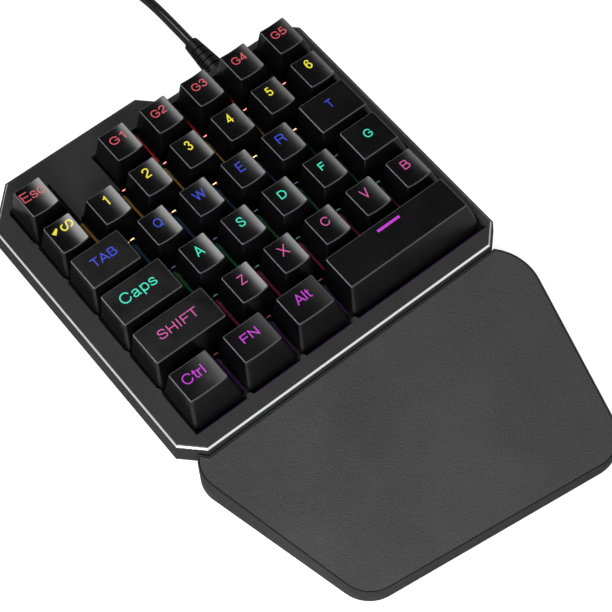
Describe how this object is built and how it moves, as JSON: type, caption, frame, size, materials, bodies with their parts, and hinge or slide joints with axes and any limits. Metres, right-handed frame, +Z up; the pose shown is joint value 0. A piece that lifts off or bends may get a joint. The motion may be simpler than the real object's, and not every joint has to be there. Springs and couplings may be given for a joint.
{
  "type": "one-handed gaming keyboard",
  "caption": "Compact left-hand gaming keyboard with sprung keys, a bright trim band, folding feet, a fixed wrist rest and a coiled USB lead.",
  "frame": {"origin": "middle of the keyboard's and wrist rest's footprint, at the level of the desk under the rubber pads", "axes": "+Z up; +X to the right of a user who sits at the keyboard; +Y away from the user, towards the lead"},
  "size_m": [0.1863, 0.3521, 0.028],
  "materials": {
    "keycap": "fine matt with a soft sheen",
    "bezel": "fine-textured matt",
    "silver_trim": "bright satin silver",
    "case": "fine-textured matt",
    "deck": "smooth matt",
    "rest": "soft-touch matt with fine grain",
    "dome_rubber": "translucent silicone",
    "membrane_film": "clear printed film",
    "plate_steel": "plain sheet",
    "circuit_board": "green solder mask",
    "screw_steel": "blackened",
    "pad_rubber": "matt",
    "wire_steel": "bright spring wire",
    "lead_jacket": "smooth satin",
    "tie_strap": "matt",
    "shell_steel": "bright nickel"
  },
  "bodies": {
    "case": {"top_cover": "bezel", "trim_band": "silver_trim", "key_deck": "deck", "rubber_dome_sheet": "dome_rubber", "switch_membrane": "membrane_film", "backing_plate": "plate_steel", "light_board": "circuit_board", "controller_board": "circuit_board", "bottom_case": "case", "case_screws": "screw_steel", "stack_screws": "screw_steel", "wrist_rest_screws": "screw_steel", "wrist_rest_base": "case", "wrist_rest_top": "rest", "rubber_pads": "pad_rubber", "strain_relief": "lead_jacket", "lead": "lead_jacket", "lead_coil": "lead_jacket", "lead_tie": "tie_strap", "plug_body": "lead_jacket", "plug_shell": "shell_steel"},
    "esc_key": {"key_esc": "keycap"},
    "g1_key": {"key_g1": "keycap"},
    "g2_key": {"key_g2": "keycap"},
    "g3_key": {"key_g3": "keycap"},
    "g4_key": {"key_g4": "keycap"},
    "g5_key": {"key_g5": "keycap"},
    "backtick_key": {"key_backtick": "keycap"},
    "1_key": {"key_1": "keycap"},
    "2_key": {"key_2": "keycap"},
    "3_key": {"key_3": "keycap"},
    "4_key": {"key_4": "keycap"},
    "5_key": {"key_5": "keycap"},
    "6_key": {"key_6": "keycap"},
    "tab_key": {"key_tab": "keycap"},
    "q_key": {"key_q": "keycap"},
    "w_key": {"key_w": "keycap"},
    "e_key": {"key_e": "keycap"},
    "r_key": {"key_r": "keycap"},
    "t_key": {"key_t": "keycap"},
    "caps_key": {"key_caps": "keycap"},
    "a_key": {"key_a": "keycap"},
    "s_key": {"key_s": "keycap"},
    "d_key": {"key_d": "keycap"},
    "f_key": {"key_f": "keycap"},
    "g_key": {"key_g": "keycap"},
    "shift_key": {"key_shift": "keycap"},
    "z_key": {"key_z": "keycap"},
    "x_key": {"key_x": "keycap"},
    "c_key": {"key_c": "keycap"},
    "v_key": {"key_v": "keycap"},
    "b_key": {"key_b": "keycap"},
    "ctrl_key": {"key_ctrl": "keycap"},
    "fn_key": {"key_fn": "keycap"},
    "alt_key": {"key_alt": "keycap"},
    "space_key": {"key_space": "keycap"},
    "shift_stabiliser": {"shift_wire": "wire_steel"},
    "space_stabiliser": {"space_wire": "wire_steel"},
    "left_foot": {"left_foot": "case"},
    "right_foot": {"right_foot": "case"}
  },
  "joints": [
    {"name": "esc_press", "type": "slide", "parent": "case", "child": "esc_key", "axis": [0, 0, -1], "range_m": [0, 0.0035], "stiffness_N_per_m": 120, "springref_m": -0.0015, "deforming": ["rubber_dome_sheet"]},
    {"name": "g1_press", "type": "slide", "parent": "case", "child": "g1_key", "axis": [0, 0, -1], "range_m": [0, 0.0035], "stiffness_N_per_m": 120, "springref_m": -0.0015, "deforming": ["rubber_dome_sheet"]},
    {"name": "g2_press", "type": "slide", "parent": "case", "child": "g2_key", "axis": [0, 0, -1], "range_m": [0, 0.0035], "stiffness_N_per_m": 120, "springref_m": -0.0015, "deforming": ["rubber_dome_sheet"]},
    {"name": "g3_press", "type": "slide", "parent": "case", "child": "g3_key", "axis": [0, 0, -1], "range_m": [0, 0.0035], "stiffness_N_per_m": 120, "springref_m": -0.0015, "deforming": ["rubber_dome_sheet"]},
    {"name": "g4_press", "type": "slide", "parent": "case", "child": "g4_key", "axis": [0, 0, -1], "range_m": [0, 0.0035], "stiffness_N_per_m": 120, "springref_m": -0.0015, "deforming": ["rubber_dome_sheet"]},
    {"name": "g5_press", "type": "slide", "parent": "case", "child": "g5_key", "axis": [0, 0, -1], "range_m": [0, 0.0035], "stiffness_N_per_m": 120, "springref_m": -0.0015, "deforming": ["rubber_dome_sheet"]},
    {"name": "backtick_press", "type": "slide", "parent": "case", "child": "backtick_key", "axis": [0, 0, -1], "range_m": [0, 0.0035], "stiffness_N_per_m": 120, "springref_m": -0.0015, "deforming": ["rubber_dome_sheet"]},
    {"name": "1_press", "type": "slide", "parent": "case", "child": "1_key", "axis": [0, 0, -1], "range_m": [0, 0.0035], "stiffness_N_per_m": 120, "springref_m": -0.0015, "deforming": ["rubber_dome_sheet"]},
    {"name": "2_press", "type": "slide", "parent": "case", "child": "2_key", "axis": [0, 0, -1], "range_m": [0, 0.0035], "stiffness_N_per_m": 120, "springref_m": -0.0015, "deforming": ["rubber_dome_sheet"]},
    {"name": "3_press", "type": "slide", "parent": "case", "child": "3_key", "axis": [0, 0, -1], "range_m": [0, 0.0035], "stiffness_N_per_m": 120, "springref_m": -0.0015, "deforming": ["rubber_dome_sheet"]},
    {"name": "4_press", "type": "slide", "parent": "case", "child": "4_key", "axis": [0, 0, -1], "range_m": [0, 0.0035], "stiffness_N_per_m": 120, "springref_m": -0.0015, "deforming": ["rubber_dome_sheet"]},
    {"name": "5_press", "type": "slide", "parent": "case", "child": "5_key", "axis": [0, 0, -1], "range_m": [0, 0.0035], "stiffness_N_per_m": 120, "springref_m": -0.0015, "deforming": ["rubber_dome_sheet"]},
    {"name": "6_press", "type": "slide", "parent": "case", "child": "6_key", "axis": [0, 0, -1], "range_m": [0, 0.0035], "stiffness_N_per_m": 120, "springref_m": -0.0015, "deforming": ["rubber_dome_sheet"]},
    {"name": "tab_press", "type": "slide", "parent": "case", "child": "tab_key", "axis": [0, 0, -1], "range_m": [0, 0.0035], "stiffness_N_per_m": 120, "springref_m": -0.0015, "deforming": ["rubber_dome_sheet"]},
    {"name": "q_press", "type": "slide", "parent": "case", "child": "q_key", "axis": [0, 0, -1], "range_m": [0, 0.0035], "stiffness_N_per_m": 120, "springref_m": -0.0015, "deforming": ["rubber_dome_sheet"]},
    {"name": "w_press", "type": "slide", "parent": "case", "child": "w_key", "axis": [0, 0, -1], "range_m": [0, 0.0035], "stiffness_N_per_m": 120, "springref_m": -0.0015, "deforming": ["rubber_dome_sheet"]},
    {"name": "e_press", "type": "slide", "parent": "case", "child": "e_key", "axis": [0, 0, -1], "range_m": [0, 0.0035], "stiffness_N_per_m": 120, "springref_m": -0.0015, "deforming": ["rubber_dome_sheet"]},
    {"name": "r_press", "type": "slide", "parent": "case", "child": "r_key", "axis": [0, 0, -1], "range_m": [0, 0.0035], "stiffness_N_per_m": 120, "springref_m": -0.0015, "deforming": ["rubber_dome_sheet"]},
    {"name": "t_press", "type": "slide", "parent": "case", "child": "t_key", "axis": [0, 0, -1], "range_m": [0, 0.0035], "stiffness_N_per_m": 120, "springref_m": -0.0015, "deforming": ["rubber_dome_sheet"]},
    {"name": "caps_press", "type": "slide", "parent": "case", "child": "caps_key", "axis": [0, 0, -1], "range_m": [0, 0.0035], "stiffness_N_per_m": 120, "springref_m": -0.0015, "deforming": ["rubber_dome_sheet"]},
    {"name": "a_press", "type": "slide", "parent": "case", "child": "a_key", "axis": [0, 0, -1], "range_m": [0, 0.0035], "stiffness_N_per_m": 120, "springref_m": -0.0015, "deforming": ["rubber_dome_sheet"]},
    {"name": "s_press", "type": "slide", "parent": "case", "child": "s_key", "axis": [0, 0, -1], "range_m": [0, 0.0035], "stiffness_N_per_m": 120, "springref_m": -0.0015, "deforming": ["rubber_dome_sheet"]},
    {"name": "d_press", "type": "slide", "parent": "case", "child": "d_key", "axis": [0, 0, -1], "range_m": [0, 0.0035], "stiffness_N_per_m": 120, "springref_m": -0.0015, "deforming": ["rubber_dome_sheet"]},
    {"name": "f_press", "type": "slide", "parent": "case", "child": "f_key", "axis": [0, 0, -1], "range_m": [0, 0.0035], "stiffness_N_per_m": 120, "springref_m": -0.0015, "deforming": ["rubber_dome_sheet"]},
    {"name": "g_press", "type": "slide", "parent": "case", "child": "g_key", "axis": [0, 0, -1], "range_m": [0, 0.0035], "stiffness_N_per_m": 120, "springref_m": -0.0015, "deforming": ["rubber_dome_sheet"]},
    {"name": "shift_press", "type": "slide", "parent": "case", "child": "shift_key", "axis": [0, 0, -1], "range_m": [0, 0.0035], "stiffness_N_per_m": 120, "springref_m": -0.0015, "deforming": ["rubber_dome_sheet"]},
    {"name": "z_press", "type": "slide", "parent": "case", "child": "z_key", "axis": [0, 0, -1], "range_m": [0, 0.0035], "stiffness_N_per_m": 120, "springref_m": -0.0015, "deforming": ["rubber_dome_sheet"]},
    {"name": "x_press", "type": "slide", "parent": "case", "child": "x_key", "axis": [0, 0, -1], "range_m": [0, 0.0035], "stiffness_N_per_m": 120, "springref_m": -0.0015, "deforming": ["rubber_dome_sheet"]},
    {"name": "c_press", "type": "slide", "parent": "case", "child": "c_key", "axis": [0, 0, -1], "range_m": [0, 0.0035], "stiffness_N_per_m": 120, "springref_m": -0.0015, "deforming": ["rubber_dome_sheet"]},
    {"name": "v_press", "type": "slide", "parent": "case", "child": "v_key", "axis": [0, 0, -1], "range_m": [0, 0.0035], "stiffness_N_per_m": 120, "springref_m": -0.0015, "deforming": ["rubber_dome_sheet"]},
    {"name": "b_press", "type": "slide", "parent": "case", "child": "b_key", "axis": [0, 0, -1], "range_m": [0, 0.0035], "stiffness_N_per_m": 120, "springref_m": -0.0015, "deforming": ["rubber_dome_sheet"]},
    {"name": "ctrl_press", "type": "slide", "parent": "case", "child": "ctrl_key", "axis": [0, 0, -1], "range_m": [0, 0.0035], "stiffness_N_per_m": 120, "springref_m": -0.0015, "deforming": ["rubber_dome_sheet"]},
    {"name": "fn_press", "type": "slide", "parent": "case", "child": "fn_key", "axis": [0, 0, -1], "range_m": [0, 0.0035], "stiffness_N_per_m": 120, "springref_m": -0.0015, "deforming": ["rubber_dome_sheet"]},
    {"name": "alt_press", "type": "slide", "parent": "case", "child": "alt_key", "axis": [0, 0, -1], "range_m": [0, 0.0035], "stiffness_N_per_m": 120, "springref_m": -0.0015, "deforming": ["rubber_dome_sheet"]},
    {"name": "space_press", "type": "slide", "parent": "case", "child": "space_key", "axis": [0, 0, -1], "range_m": [0, 0.0035], "stiffness_N_per_m": 120, "springref_m": -0.0015, "deforming": ["rubber_dome_sheet"]},
    {"name": "shift_wire_turn", "type": "hinge", "parent": "case", "child": "shift_stabiliser", "pos_m": [-0.04512, 0.01998, 0.016], "axis": [1, 0, 0], "range_deg": [0, 22.43]},
    {"name": "space_wire_turn", "type": "hinge", "parent": "case", "child": "space_stabiliser", "pos_m": [0.03822, 0.00093, 0.016], "axis": [1, 0, 0], "range_deg": [0, 22.43]},
    {"name": "left_foot_fold", "type": "hinge", "parent": "case", "child": "left_foot", "pos_m": [-0.04217, 0.0881, 0.0026], "axis": [1, 0, 0], "range_deg": [0, 100]},
    {"name": "right_foot_fold", "type": "hinge", "parent": "case", "child": "right_foot", "pos_m": [0.04718, 0.0881, 0.0026], "axis": [1, 0, 0], "range_deg": [0, 100]}
  ],
  "couplings": [
    {"joint": "shift_wire_turn", "follows": "shift_press", "rad_per_m": 111.82},
    {"joint": "space_wire_turn", "follows": "space_press", "rad_per_m": 111.82}
  ]
}
